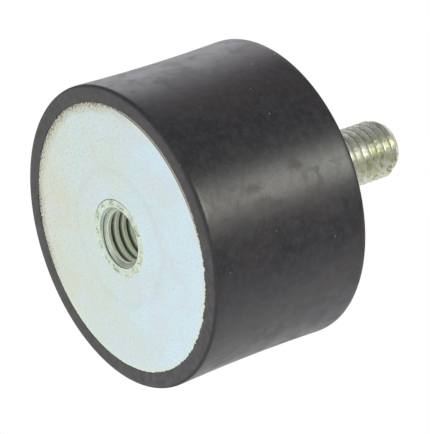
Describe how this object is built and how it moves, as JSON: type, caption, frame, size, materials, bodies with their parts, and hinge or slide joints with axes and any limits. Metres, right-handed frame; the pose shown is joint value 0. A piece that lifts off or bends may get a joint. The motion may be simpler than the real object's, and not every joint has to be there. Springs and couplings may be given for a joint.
{
  "type": "bobbin vibration mount",
  "caption": "Round rubber vibration mount bonded between two steel plates, with a blind tapped bush in one face and a threaded stud standing out of the other.",
  "frame": {"origin": "centre of the outer face of the plate that holds the threaded bush, which the part stands on", "axes": "+Z along the common axis of the bush and the stud, towards the stud's tip"},
  "size_m": [0.05, 0.05, 0.055],
  "materials": {
    "rubber": "moulded, satin black",
    "plate_zinc": "bright zinc plated",
    "bush_zinc": "bright zinc plated, turned",
    "stud_zinc": "zinc plated, yellow passivated"
  },
  "bodies": {
    "root": {"rubber_body": "rubber", "bush_plate": "plate_zinc", "threaded_bush": "bush_zinc", "stud_plate": "plate_zinc", "stud": "stud_zinc"}
  },
  "joints": []
}
